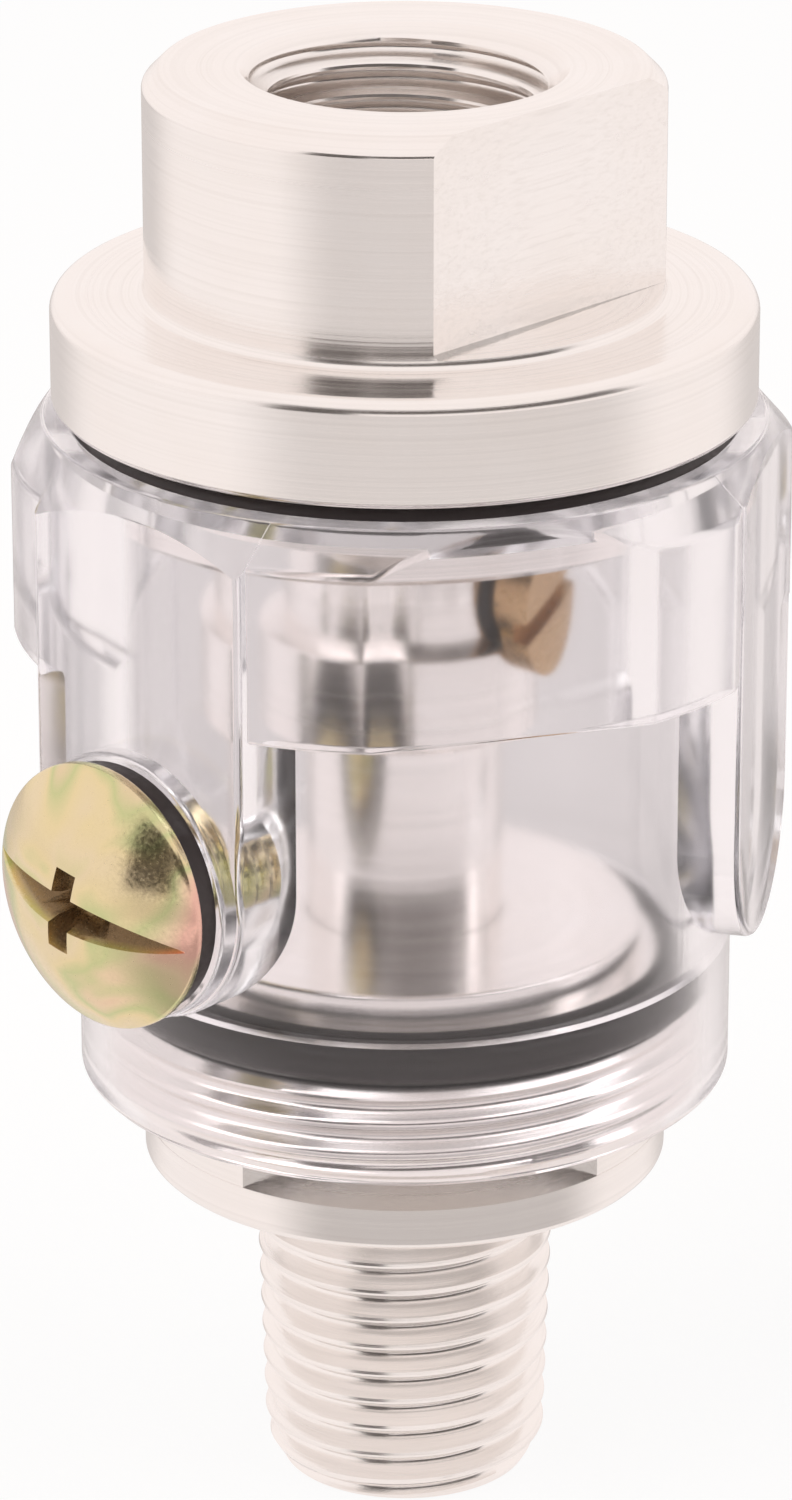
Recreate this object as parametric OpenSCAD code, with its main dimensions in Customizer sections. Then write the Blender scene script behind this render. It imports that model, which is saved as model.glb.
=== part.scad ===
// Air line lubricator: a clear oil bowl clamped between a turned inlet cap and a turned outlet plug.
// Air runs down the axis, from the inlet through a throat and a tube to the outlet.
// A metering screw at the throat lets oil out of the bowl, and a filler screw in the wall lets oil in.
// The axis is Z. The origin is where the outlet thread meets the plug's rim, and the filler faces -Y.

/* [Outlet plug] */
// Crest diameter of the male pipe thread
thread_d = 13.157; // [12:0.001:16]
// Length of the male thread below the rim
thread_len = 14.85; // [10:0.05:20]
// Pitch of the two pipe threads
thread_pitch = 1.337; // [1:0.001:2]
// Depth of the pipe threads' grooves
thread_depth = 0.856; // [0.5:0.001:1]
// Height of the lead-in chamfer at the thread's end
thread_lead = 1.8; // [0.5:0.1:3]
// Depth of the lead-in chamfer on the radius
thread_lead_in = 1.0; // [0.3:0.1:1.5]
// Diameter of the air bore through the outlet
outlet_bore_d = 6.4; // [4:0.1:7]
// Diameter of the rim below the bowl
rim_d = 22.9; // [20:0.1:25]
// Height of the round rim
rim_h = 2.0; // [1:0.1:4]
// Chamfer on the rim's lower edge
rim_edge = 0.35; // [0.1:0.05:0.6]
// Height of the wrench flats between the rim and the bowl
hub_h = 2.25; // [1.5:0.05:5]
// Distance across the plug's two wrench flats
hub_flats = 17; // [15:0.5:19]
// Turn of the plug's wrench flats about the axis
hub_turn = 48; // [0:1:179]
// Length of the screwed part inside the bowl
plug_thread_len = 4.1; // [3:0.1:7]
// Height of the plain top of the plug, which carries the lower O-ring
plug_top_h = 3.35; // [2.8:0.05:5]
// Diameter of that top above the O-ring
plug_top_d = 20.6; // [18:0.1:21]
// Depth of the socket that takes the air tube
plug_socket = 3.4; // [2.6:0.1:5]

/* [Bowl] */
// Outside diameter of the bowl
bowl_d = 28.4; // [27:0.1:31]
// Wall of the bowl
bowl_wall = 2.0; // [1.8:0.1:2.4]
// Wall of the bowl round the screwed part and its O-ring
seal_wall = 1.15; // [0.9:0.05:1.4]
// Height of the bowl
bowl_h = 29.95; // [28:0.05:40]
// Chamfer on the bowl's lower edge
bowl_edge = 0.4; // [0.2:0.05:0.6]
// How far the flats of the six-sided collar stand out from the bowl
collar_step = 1.5; // [1:0.05:2]
// How far the collar's rounded corners stand out from its flats
collar_corner = 1.1; // [0.8:0.05:1.8]
// Height of the collar
collar_h = 9.3; // [8:0.05:10]
// Slope of the collar's underside, in degrees from level
collar_slope = 8; // [2:1:60]
// How far inside the collar's flats its level top ends
top_lip = 0.3; // [0.1:0.05:0.6]
// Slope from that level top down to the corners, in degrees
top_slope = 49; // [35:1:60]
// How far the filler boss stands out from the collar's flat
boss_step = 0.5; // [0.2:0.05:0.8]
// Half the width of the filler boss
boss_r = 6.0; // [5.8:0.1:6.4]
// Height of the filler's axis above the bowl's lower edge
filler_h = 13.1; // [12:0.1:14]
// Radius of the raised seat round the filler hole
seat_r = 5.8; // [5.2:0.1:6]
// Height of that seat above the collar's flats
seat_step = 1.3; // [1:0.1:2]
// How far the two ribs at the back stand out from the collar's flats
rib_step = 0.1; // [0.05:0.05:0.4]
// Half the width of those ribs
rib_r = 5.4; // [4:0.1:6]
// Height of the ribs' lower end above the bowl's lower edge
rib_low = 7.6; // [5:0.1:10]

/* [Inlet cap] */
// Diameter of the flange
flange_d = 30; // [29:0.1:32]
// Thickness of the flange
flange_h = 4.65; // [3:0.05:6]
// Chamfer on the flange's edges
flange_edge = 0.25; // [0.1:0.05:0.5]
// Diameter of the neck
neck_d = 22; // [20:0.1:25]
// Height of the neck
neck_h = 9.75; // [9:0.05:16]
// Chamfer at the top of the neck
neck_edge = 0.7; // [0.5:0.1:1.5]
// Distance of the neck's one flat from the axis
neck_flat = 8.5; // [8:0.1:9.5]
// Direction of the neck's flat round the axis, from the filler
neck_turn = 89; // [0:1:359]
// Shelf left between the flange and the neck's flat
neck_shelf = 0.65; // [0.2:0.05:2]
// Minor diameter of the female pipe thread
inlet_d = 11.445; // [9:0.001:12]
// Diameter of the inlet's countersink
inlet_mouth_d = 13.8; // [12.5:0.1:15]
// Depth of the inlet thread
inlet_depth = 10.8; // [9:0.1:13]
// Length of the screwed spigot below the flange
spigot_len = 3.8; // [3.2:0.1:4.6]
// Length of the stem below the flange
stem_len = 13.8; // [13:0.1:16]
// Diameter of the stem
stem_d = 10.4; // [9.6:0.1:10.8]
// Diameter of the stem's foot
foot_d = 12.6; // [11.5:0.1:13]
// Height of the stem's foot
foot_h = 4.5; // [3.5:0.1:5]
// Depth of the socket that takes the air tube
stem_socket = 2.6; // [2:0.1:3.4]
// Diameter of the throat
throat_d = 3.8; // [3:0.1:4.4]
// Length of the throat
throat_len = 2.6; // [1.6:0.1:3]

/* [Air tube] */
// Outside diameter of the air tube
tube_d = 8.5; // [7.2:0.1:9]
// Bore of the air tube and of the passage above it
tube_bore_d = 5.2; // [4.6:0.1:5.8]

/* [Seals] */
// Section of the O-ring under the flange
upper_ring_t = 2.04; // [1.7:0.02:2.2]
// Gap between the bowl and the flange, where that O-ring shows
seal_gap = 0.65; // [0.5:0.05:1.3]
// Section of the O-ring on the plug
lower_ring_t = 2.0; // [1.8:0.05:2.2]
// Section of the O-ring round the air tube's lower end
tube_ring_t = 1.0; // [0.8:0.05:1.2]
// Section of the O-ring on the metering screw
metering_ring_t = 0.9; // [0.7:0.05:0.95]

/* [Metering screw] */
// Depth of the metering screw's axis below the flange
metering_drop = 7.4; // [7.2:0.1:7.6]
// Direction of the metering screw round the axis, from the filler
metering_turn = 100; // [60:1:180]
// Diameter of the metering screw's thread
metering_d = 3.0; // [2.6:0.1:3.2]
// Diameter of its head
metering_head_d = 6.2; // [5.6:0.1:6.4]
// Thickness of its head
metering_head_t = 1.6; // [1.2:0.1:2]
// Width of its driver slot
metering_slot = 1.0; // [0.6:0.1:1.2]
// Turn of that slot about the screw
metering_slot_turn = 10; // [0:1:179]
// Diameter of the needle point
needle_d = 1.2; // [0.8:0.1:1.4]

/* [Filler screw] */
// Diameter of the filler screw's thread
filler_d = 5.0; // [4:0.1:5.4]
// Length of the filler screw under its head
filler_len = 8.0; // [7:0.1:9]
// Diameter of the filler screw's head
filler_head_d = 11.5; // [10:0.1:12]
// Thickness of the head's rim
filler_rim = 0.5; // [0.4:0.1:1]
// Height of the head's dome above its rim
filler_dome = 2.3; // [1.8:0.1:2.6]
// Width of the driver slot and of the cross recess
filler_slot = 1.2; // [0.9:0.1:1.5]
// Depth of the driver slot below the top of the dome
filler_slot_depth = 1.9; // [1:0.1:2]
// Length of the cross recess
filler_cross = 4.6; // [4:0.1:6.5]
// Turn of the driver slot about the screw
filler_turn = 171; // [0:1:179]
// Diameter of the sealing washer
washer_d = 10.9; // [9.5:0.1:11]
// Thickness of the sealing washer
washer_t = 1.0; // [0.6:0.05:1.3]

/* [Fits] */
// Radial clearance of a screwed or turning fit
fit_clear = 0.05; // [0.02:0.01:0.08]
// Clearance of a seated piece
seat_clear = 0.03; // [0.01:0.01:0.05]

/* [Hidden] */
$fn = 96;
// Cutting tools reach this far past the face that they open
past = 1;

// Heights, from the rim's underside up
flats_z = rim_h;
bowl_z = flats_z + hub_h;
plug_seat_z = bowl_z + plug_thread_len;
plug_top_z = plug_seat_z + plug_top_h;
bowl_top_z = bowl_z + bowl_h;
flange_z = bowl_top_z + seal_gap;
flange_top_z = flange_z + flange_h;
top_z = flange_top_z + neck_h;
spigot_z = flange_z - spigot_len;
foot_z = flange_z - stem_len;
ledge_z = foot_z + foot_h;
metering_z = flange_z - metering_drop;
filler_z = bowl_z + filler_h;
tube_low_z = plug_top_z - plug_socket + seat_clear;
tube_high_z = foot_z + stem_socket - seat_clear;

// Radii of the bowl and of what screws into it
bowl_r = bowl_d / 2;
bore_r = bowl_r - bowl_wall;
seal_bore_r = bowl_r - seal_wall;
plug_thread_r = seal_bore_r - fit_clear;
spigot_r = bore_r - fit_clear;
collar_flat_r = bowl_r + collar_step;
collar_corner_r = collar_flat_r + collar_corner;
collar_top_r = collar_flat_r - top_lip;
boss_face = collar_flat_r + boss_step;
rib_face = collar_flat_r + rib_step;
seat_face = collar_flat_r + seat_step;
tube_r = tube_d / 2;
passage_r = tube_bore_d / 2;
throat_r = throat_d / 2;
stem_r = stem_d / 2;

// O-ring seats
upper_ring_r = spigot_r + seat_clear + upper_ring_t / 2;
upper_seat_depth = upper_ring_t + 2 * seat_clear - seal_gap;
lower_ring_r = seal_bore_r - seat_clear - lower_ring_t / 2;
lower_step_z = plug_seat_z + lower_ring_t + 2 * seat_clear;
lower_seat_r = lower_ring_r - lower_ring_t / 2 - seat_clear;
tube_ring_r = tube_r + seat_clear + tube_ring_t / 2;
tube_groove_h = tube_ring_t + 2 * seat_clear;
tube_groove_z = plug_top_z - plug_socket / 2 - tube_groove_h / 2;

// Metering screw, as distances from the axis of the bowl
metering_ring_r = metering_d / 2 + seat_clear + metering_ring_t / 2;
metering_seat_r = metering_ring_r + metering_ring_t / 2 + fit_clear;
metering_seat = stem_r - metering_ring_t;
metering_ring_at = metering_seat + seat_clear + metering_ring_t / 2;
metering_shoulder = metering_ring_at + metering_ring_t / 2 + seat_clear;
metering_head = foot_d / 2 + 2 * fit_clear;
metering_thread_end = (metering_seat + throat_r) / 2;
port_r = needle_d / 2 + 2 * fit_clear;

// Filler screw, as distances from the axis of the bowl
washer_face = seat_face + seat_clear;
filler_head = washer_face + washer_t + seat_clear;
filler_rim_face = filler_head + filler_rim;
filler_apex = filler_rim_face + filler_dome;
filler_dome_r = (pow(filler_head_d / 2, 2) + pow(filler_dome, 2)) / (2 * filler_dome);
filler_end_edge = filler_d / 10;

// Profile of a pipe thread's turns, as ring grooves between two heights
function turns(crest_r, root_r, low_z, high_z) =
    let (count = floor((high_z - low_z) / thread_pitch), start_z = high_z - count * thread_pitch)
    [for (turn = [0 : count - 1], corner = [[crest_r, 0.15], [root_r, 0.45], [root_r, 0.55], [crest_r, 0.85]])
        [corner[0], start_z + (turn + corner[1]) * thread_pitch]];

module turned(profile) {
    rotate_extrude() polygon(profile);
}

// A ring of round section about Z
module o_ring(r, section, z) {
    translate([0, 0, z]) rotate_extrude() translate([r, 0]) circle(d = section);
}

// What points up +Z about the origin points out of the bowl at this height and direction
module radially(z, turn) {
    translate([0, 0, z]) rotate([0, 0, turn]) rotate([90, 0, 0]) children();
}

// A cut that leaves a flat between two heights, at a distance and in a direction from the axis
module flat_cut(distance, turn, low, high, reach) {
    rotate([0, 0, turn])
        translate([-reach, -reach - distance, low]) cube([2 * reach, reach, high - low]);
}

module inlet_cap() {
    neck_r = neck_d / 2;
    flange_r = flange_d / 2;
    foot_r = foot_d / 2;
    inlet_r = inlet_d / 2;
    mouth = (inlet_mouth_d - inlet_d) / 2;
    inlet_end_z = top_z - inlet_depth;
    drill_point = (inlet_r - passage_r) * tan(30);
    throat_high_z = metering_z + throat_len / 2;
    throat_low_z = metering_z - throat_len / 2;
    socket_top_z = foot_z + stem_socket;
    color("gainsboro") difference() {
        turned([
            [0, foot_z],
            [foot_r - flange_edge, foot_z],
            [foot_r, foot_z + flange_edge],
            [foot_r, ledge_z],
            [stem_r, ledge_z],
            [stem_r, spigot_z],
            [spigot_r - flange_edge, spigot_z],
            [spigot_r, spigot_z + flange_edge],
            [spigot_r, flange_z],
            [flange_r - flange_edge, flange_z],
            [flange_r, flange_z + flange_edge],
            [flange_r, flange_top_z - flange_edge],
            [flange_r - flange_edge, flange_top_z],
            [neck_r, flange_top_z],
            [neck_r, top_z - neck_edge],
            [neck_r - neck_edge, top_z],
            [0, top_z]
        ]);
        turned([
            [0, foot_z - past],
            [tube_r + seat_clear, foot_z - past],
            [tube_r + seat_clear, socket_top_z],
            [passage_r, socket_top_z],
            [throat_r, throat_low_z],
            [throat_r, throat_high_z],
            [passage_r, throat_high_z + throat_low_z - socket_top_z],
            [passage_r, inlet_end_z - drill_point],
            [inlet_r, inlet_end_z],
            each turns(inlet_r, inlet_r + thread_depth, inlet_end_z, top_z - mouth),
            [inlet_r, top_z - mouth],
            [inlet_r + mouth + past, top_z + past],
            [0, top_z + past]
        ]);
        flat_cut(neck_flat, neck_turn, flange_top_z + neck_shelf, top_z + past, flange_d);
        radially(metering_z, metering_turn) {
            cylinder(r = port_r, h = metering_seat);
            translate([0, 0, metering_thread_end])
                cylinder(d = metering_d + 2 * fit_clear, h = stem_r);
            translate([0, 0, metering_seat]) cylinder(r = metering_seat_r, h = stem_r);
        }
    }
}

module upper_o_ring() {
    color("#241d1c") o_ring(upper_ring_r, upper_ring_t, flange_z - seat_clear - upper_ring_t / 2);
}

// A flat pad on the bowl that faces -Y, with straight sides and a half-round lower end
module round_ended_pad(face, half_w, axis_z, high_z) {
    translate([-half_w, -face, axis_z]) cube([2 * half_w, face, high_z - axis_z]);
    translate([0, 0, axis_z]) rotate([90, 0, 0]) cylinder(r = half_w, h = face);
}

// The six-sided collar, with round corners and a sloping underside
module collar() {
    low_z = bowl_top_z - collar_h;
    intersection() {
        translate([0, 0, bowl_z]) cylinder(r = collar_flat_r / cos(30), h = bowl_h, $fn = 6);
        turned([
            [0, low_z - collar_flat_r * tan(collar_slope)],
            [collar_flat_r, low_z],
            [collar_corner_r, low_z],
            [collar_corner_r, bowl_top_z],
            [0, bowl_top_z]
        ]);
    }
}

// The room under the bowl's level top and the slope that runs down from it
module under_slope() {
    reach_r = 2 * bowl_r;
    turned([
        [0, bowl_z],
        [reach_r, bowl_z],
        [reach_r, bowl_top_z - (reach_r - collar_top_r) * tan(top_slope)],
        [collar_top_r, bowl_top_z],
        [0, bowl_top_z]
    ]);
}

module bowl() {
    upper_seat_r = upper_ring_r + upper_ring_t / 2 + seat_clear;
    color("lavender", 0.4) difference() {
        union() {
            turned([
                [0, bowl_z],
                [bowl_r - bowl_edge, bowl_z],
                [bowl_r, bowl_z + bowl_edge],
                [bowl_r, bowl_top_z],
                [0, bowl_top_z]
            ]);
            intersection() {
                union() {
                    collar();
                    round_ended_pad(boss_face, boss_r, filler_z, bowl_top_z);
                    for (turn = [-120, 120])
                        rotate([0, 0, turn])
                            round_ended_pad(rib_face, rib_r, bowl_z + rib_low + rib_r, bowl_top_z);
                }
                under_slope();
            }
            radially(filler_z, 0) cylinder(r = seat_r, h = seat_face);
        }
        turned([
            [0, bowl_z - past],
            [seal_bore_r, bowl_z - past],
            [seal_bore_r, lower_step_z],
            [bore_r, lower_step_z],
            [bore_r, bowl_top_z - upper_seat_depth],
            [upper_seat_r, bowl_top_z - upper_seat_depth],
            [upper_seat_r, bowl_top_z + past],
            [0, bowl_top_z + past]
        ]);
        radially(filler_z, 0) cylinder(d = filler_d + 2 * fit_clear, h = seat_face + past);
    }
}

module lower_o_ring() {
    color("#241d1c") o_ring(lower_ring_r, lower_ring_t, plug_seat_z + seat_clear + lower_ring_t / 2);
}

module outlet_plug() {
    thread_r = thread_d / 2;
    rim_r = rim_d / 2;
    tube_fit_r = tube_r + seat_clear;
    groove_r = tube_ring_r + tube_ring_t / 2 + seat_clear;
    color("gainsboro") difference() {
        union() {
            difference() {
                turned([
                    [0, -thread_len],
                    [thread_r - thread_lead_in, -thread_len],
                    [thread_r, thread_lead - thread_len],
                    each turns(thread_r, thread_r - thread_depth, thread_lead - thread_len, 0),
                    [thread_r, 0],
                    [rim_r - rim_edge, 0],
                    [rim_r, rim_edge],
                    [rim_r, plug_seat_z],
                    [0, plug_seat_z]
                ]);
                for (side = [0, 180])
                    flat_cut(hub_flats / 2, hub_turn + side, flats_z, plug_seat_z + past, rim_d);
            }
            turned([
                [0, bowl_z],
                [plug_thread_r, bowl_z],
                [plug_thread_r, plug_seat_z],
                [lower_seat_r, plug_seat_z],
                [lower_seat_r, lower_step_z],
                [plug_top_d / 2, lower_step_z],
                [plug_top_d / 2, plug_top_z],
                [0, plug_top_z]
            ]);
        }
        turned([
            [0, -thread_len - past],
            [outlet_bore_d / 2, -thread_len - past],
            [outlet_bore_d / 2, plug_top_z - plug_socket],
            [tube_fit_r, plug_top_z - plug_socket],
            [tube_fit_r, tube_groove_z],
            [groove_r, tube_groove_z],
            [groove_r, tube_groove_z + tube_groove_h],
            [tube_fit_r, tube_groove_z + tube_groove_h],
            [tube_fit_r, plug_top_z + past],
            [0, plug_top_z + past]
        ]);
    }
}

module air_tube() {
    color("silver") turned([
        [passage_r, tube_low_z],
        [tube_r, tube_low_z],
        [tube_r, tube_high_z],
        [passage_r, tube_high_z]
    ]);
}

module tube_o_ring() {
    color("#241d1c") o_ring(tube_ring_r, tube_ring_t, tube_groove_z + tube_groove_h / 2);
}

module metering_screw() {
    thread_r = metering_d / 2;
    face = metering_head + metering_head_t;
    color("goldenrod") radially(metering_z, metering_turn) difference() {
        turned([
            [0, throat_r],
            [needle_d / 4, throat_r],
            [needle_d / 2, throat_r + needle_d / 2],
            [needle_d / 2, metering_thread_end + seat_clear],
            [thread_r, metering_thread_end + seat_clear],
            [thread_r, metering_shoulder],
            [metering_ring_r, metering_shoulder],
            [metering_ring_r, metering_head],
            [metering_head_d / 2, metering_head],
            [metering_head_d / 2, face],
            [0, face]
        ]);
        rotate([0, 0, metering_slot_turn]) translate([-metering_head_d, -metering_slot / 2, face - metering_head_t / 2])
            cube([2 * metering_head_d, metering_slot, metering_head_t]);
    }
}

module metering_o_ring() {
    color("#241d1c") radially(metering_z, metering_turn)
        o_ring(metering_ring_r, metering_ring_t, metering_ring_at);
}

module filler_screw() {
    head_r = filler_head_d / 2;
    color("#cdb96a") radially(filler_z, 0) difference() {
        union() {
            turned([
                [0, filler_head - filler_len],
                [filler_d / 2 - filler_end_edge, filler_head - filler_len],
                [filler_d / 2, filler_head - filler_len + filler_end_edge],
                [filler_d / 2, filler_head],
                [head_r, filler_head],
                [head_r, filler_rim_face],
                [0, filler_rim_face]
            ]);
            intersection() {
                translate([0, 0, filler_apex - filler_dome_r]) sphere(r = filler_dome_r);
                translate([0, 0, filler_head]) cylinder(r = head_r, h = filler_rim + filler_dome + past);
            }
        }
        rotate([0, 0, filler_turn]) {
            translate([-filler_head_d, -filler_slot / 2, filler_apex - filler_slot_depth])
                cube([2 * filler_head_d, filler_slot, filler_dome]);
            for (arm = [0, 90])
                rotate([0, 0, arm])
                    translate([-filler_cross / 2, -filler_slot / 2, filler_rim_face])
                        cube([filler_cross, filler_slot, filler_dome + past]);
        }
    }
}

module filler_washer() {
    color("#241d1c") radially(filler_z, 0) translate([0, 0, washer_face]) difference() {
        cylinder(d = washer_d, h = washer_t);
        translate([0, 0, -past]) cylinder(d = filler_d + 2 * fit_clear, h = washer_t + 2 * past);
    }
}

inlet_cap();
upper_o_ring();
bowl();
lower_o_ring();
outlet_plug();
air_tube();
tube_o_ring();
metering_screw();
metering_o_ring();
filler_screw();
filler_washer();
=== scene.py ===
"""Looks of an air line lubricator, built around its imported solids.

The pieces are drawn in millimetres about the bowl's axis and scaled to metres at the end. The axis is Z, the origin is
where the outlet thread meets the plug's rim, and the filler screw faces -Y.
"""

import logging
import math
from dataclasses import dataclass
from enum import Enum
from typing import Any, Callable, Iterable, Mapping, Sequence

import bmesh
import bpy
from bmesh.types import BMesh
from mathutils import Matrix, Vector


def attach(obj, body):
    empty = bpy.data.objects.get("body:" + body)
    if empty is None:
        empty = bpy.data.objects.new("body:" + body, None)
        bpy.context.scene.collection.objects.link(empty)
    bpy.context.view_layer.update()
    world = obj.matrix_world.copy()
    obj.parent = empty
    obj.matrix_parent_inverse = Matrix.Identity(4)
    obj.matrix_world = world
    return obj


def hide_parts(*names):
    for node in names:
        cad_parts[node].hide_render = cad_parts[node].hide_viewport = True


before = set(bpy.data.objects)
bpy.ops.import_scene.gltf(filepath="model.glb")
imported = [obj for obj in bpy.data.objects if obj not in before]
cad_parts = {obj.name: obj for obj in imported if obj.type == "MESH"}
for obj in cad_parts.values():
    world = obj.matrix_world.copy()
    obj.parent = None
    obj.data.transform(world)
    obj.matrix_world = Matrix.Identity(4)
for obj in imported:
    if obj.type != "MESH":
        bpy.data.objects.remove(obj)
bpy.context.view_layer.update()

MM = 0.001
FULL_TURN = 2.0 * math.pi
TURN_STEPS = 192
NEAR = 1e-4  # millimetres
WELD = 2e-6  # metres

Point = tuple[float, float]
log = logging.getLogger("lubricator")


class Body(Enum):
    """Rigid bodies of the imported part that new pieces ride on."""

    HOUSING = "housing"
    FILLER_SCREW = "filler_screw"


class Slot(Enum):
    """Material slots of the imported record."""

    ALUMINIUM = "turned_aluminium"
    POLYCARBONATE = "clear_polycarbonate"
    RUBBER = "black_rubber"
    BRASS = "brass"
    ZINC = "yellow_zinc_steel"


def linear(colour: str) -> tuple[float, float, float, float]:
    """Turns an sRGB hex colour to linear.

    Args:
        colour: six hex digits after a hash sign.

    Returns:
        Linear red, green and blue, and an alpha of 1.
    """
    shares = [int(colour[i : i + 2], 16) / 255 for i in (1, 3, 5)]
    red, green, blue = (s / 12.92 if s <= 0.04045 else ((s + 0.055) / 1.055) ** 2.4 for s in shares)
    return red, green, blue, 1.0


def add_node(
    tree: bpy.types.NodeTree,
    kind: str,
    settings: Mapping[str | int, Any] | None = None,
    links: Mapping[str | int, bpy.types.NodeSocket] | None = None,
) -> bpy.types.Node:
    """Adds a node with its settings and links.

    Args:
        tree: node tree that takes the node.
        kind: the node's type without its ShaderNode prefix.
        settings: properties in lower case, and input values by name or number.
        links: output sockets by the name or number of the input that takes them.

    Returns:
        The new node.
    """
    node = tree.nodes.new("ShaderNode" + kind)
    for key, value in (settings or {}).items():
        if isinstance(key, str) and key[0].islower():
            setattr(node, key, value)
        else:
            node.inputs[key].default_value = value
    for key, socket in (links or {}).items():
        tree.links.new(socket, node.inputs[key])
    return node


def per_mm(size: float) -> float:
    """Texture scale, on coordinates in metres, of a feature of this size in millimetres."""
    return 1.0 / (size * MM)


@dataclass(frozen=True)
class Finish:
    """A material made of one Principled shader and the nodes that feed it."""

    name: str
    colour: str
    roughness: float

    def start(self) -> tuple[bpy.types.Material, bpy.types.NodeTree, bpy.types.Node]:
        """Makes the material with its plain values set on the shader's own sockets.

        Returns:
            The material, its node tree and its shader.
        """
        material = bpy.data.materials.new(self.name)
        material.use_nodes = True
        tree = material.node_tree
        shader = tree.nodes["Principled BSDF"]
        shader.inputs["Base Color"].default_value = linear(self.colour)
        shader.inputs["Roughness"].default_value = self.roughness
        material.diffuse_color = linear(self.colour)
        return material, tree, shader


@dataclass(frozen=True)
class GrainedFinish(Finish):
    """A finish with a fine grain in its gloss and its bump."""

    grain: float = 0.25
    detail: float = 4.0
    depth: float = 0.01
    spread: Point = (0.08, 0.12)

    def add_grain(self, tree: bpy.types.NodeTree, shader: bpy.types.Node) -> None:
        """Feeds the grain to the shader.

        Args:
            tree: the material's node tree.
            shader: its shader.
        """
        place = add_node(tree, "TexCoord")
        size = {"Scale": per_mm(self.grain), "Detail": self.detail}
        grain = add_node(tree, "TexNoise", size, {"Vector": place.outputs["Object"]})
        ends = {"To Min": self.roughness - self.spread[0], "To Max": self.roughness + self.spread[1]}
        gloss = add_node(tree, "MapRange", {"From Min": 0.3, "From Max": 0.7, **ends}, {"Value": grain.outputs["Fac"]})
        tree.links.new(gloss.outputs[0], shader.inputs["Roughness"])
        bump = add_node(tree, "Bump", {"Strength": 0.4, "Distance": self.depth * MM}, {"Height": grain.outputs["Fac"]})
        tree.links.new(bump.outputs[0], shader.inputs["Normal"])


@dataclass(frozen=True)
class TurnedMetal(Finish):
    """Free-cutting metal from a lathe: fine rings from the tool's feed spread each highlight along the axis."""

    ring: float = 0.11
    depth: float = 0.0035
    dull_ring: float = 0.6
    rough_low: float = 0.14
    rough_high: float = 0.3
    stain: str = "#D9D2C6"
    stain_size: float = 5.0
    line: str = "#B9B0A8"
    line_share: float = 0.15

    def material(self) -> bpy.types.Material:
        """Makes rings that follow radius and height, so they lie round walls and on end faces alike."""
        material, tree, shader = self.start()
        shader.inputs["Metallic"].default_value = 1.0
        place = add_node(tree, "TexCoord")
        flat = add_node(tree, "VectorMath", {"operation": "MULTIPLY", 1: (1.0, 1.0, 0.0)}, {0: place.outputs["Object"]})
        radius = add_node(tree, "VectorMath", {"operation": "LENGTH"}, {0: flat.outputs[0]})
        parts = add_node(tree, "SeparateXYZ", None, {0: place.outputs["Object"]})
        section = add_node(tree, "CombineXYZ", None, {"X": radius.outputs["Value"], "Z": parts.outputs["Z"]})
        rings = add_node(
            tree,
            "TexNoise",
            {"Scale": per_mm(self.ring), "Detail": 3.0, "Roughness": 0.6},
            {"Vector": section.outputs[0]},
        )
        bands = add_node(
            tree,
            "TexNoise",
            {"Scale": per_mm(self.dull_ring), "Detail": 4.0, "Roughness": 0.7},
            {"Vector": section.outputs[0]},
        )
        dull = add_node(
            tree,
            "MapRange",
            {"From Min": 0.35, "From Max": 0.7, "To Min": self.rough_low, "To Max": self.rough_high},
            {"Value": bands.outputs["Fac"]},
        )
        tree.links.new(dull.outputs[0], shader.inputs["Roughness"])
        clouds = add_node(
            tree, "TexNoise", {"Scale": per_mm(self.stain_size), "Detail": 3.0}, {"Vector": place.outputs["Object"]}
        )
        tint = add_node(
            tree,
            "Mix",
            {"data_type": "RGBA", 6: linear(self.colour), 7: linear(self.stain)},
            {0: clouds.outputs["Fac"]},
        )
        heights = {"From Min": 0.48, "From Max": 0.78, "To Max": self.line_share}
        lines = add_node(tree, "MapRange", heights, {"Value": rings.outputs["Fac"]})
        lined = add_node(
            tree, "Mix", {"data_type": "RGBA", 7: linear(self.line)}, {0: lines.outputs[0], 6: tint.outputs[2]}
        )
        tree.links.new(lined.outputs[2], shader.inputs["Base Color"])
        bump = add_node(tree, "Bump", {"Strength": 0.5, "Distance": self.depth * MM}, {"Height": rings.outputs["Fac"]})
        tree.links.new(bump.outputs[0], shader.inputs["Normal"])
        return material


@dataclass(frozen=True)
class ClearPlastic(Finish):
    """Injection moulded polycarbonate: clear, with a violet cast where the light runs far inside it."""

    ior: float = 1.46
    cast: str = "#C8C4DC"
    cast_density: float = 3.5
    wave: float = 3.2
    wave_depth: float = 0.006

    def material(self) -> bpy.types.Material:
        """Makes a clear shader with an even absorption and the faint waves of a moulded face."""
        material, tree, shader = self.start()
        shader.inputs["Transmission Weight"].default_value = 1.0
        shader.inputs["IOR"].default_value = self.ior
        place = add_node(tree, "TexCoord")
        waves = add_node(
            tree, "TexNoise", {"Scale": per_mm(self.wave), "Detail": 2.0}, {"Vector": place.outputs["Object"]}
        )
        bump = add_node(
            tree, "Bump", {"Strength": 0.5, "Distance": self.wave_depth * MM}, {"Height": waves.outputs["Fac"]}
        )
        tree.links.new(bump.outputs[0], shader.inputs["Normal"])
        cast = add_node(tree, "VolumeAbsorption", {"Color": linear(self.cast), "Density": self.cast_density})
        tree.links.new(cast.outputs[0], tree.nodes["Material Output"].inputs["Volume"])
        return material


@dataclass(frozen=True)
class MouldedRubber(GrainedFinish):
    """Black nitrile rubber: a soft sheen, and a fine grain from the mould."""

    def material(self) -> bpy.types.Material:
        """Makes a dark shader with a grain in its bump and its gloss."""
        material, tree, shader = self.start()
        self.add_grain(tree, shader)
        return material


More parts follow.
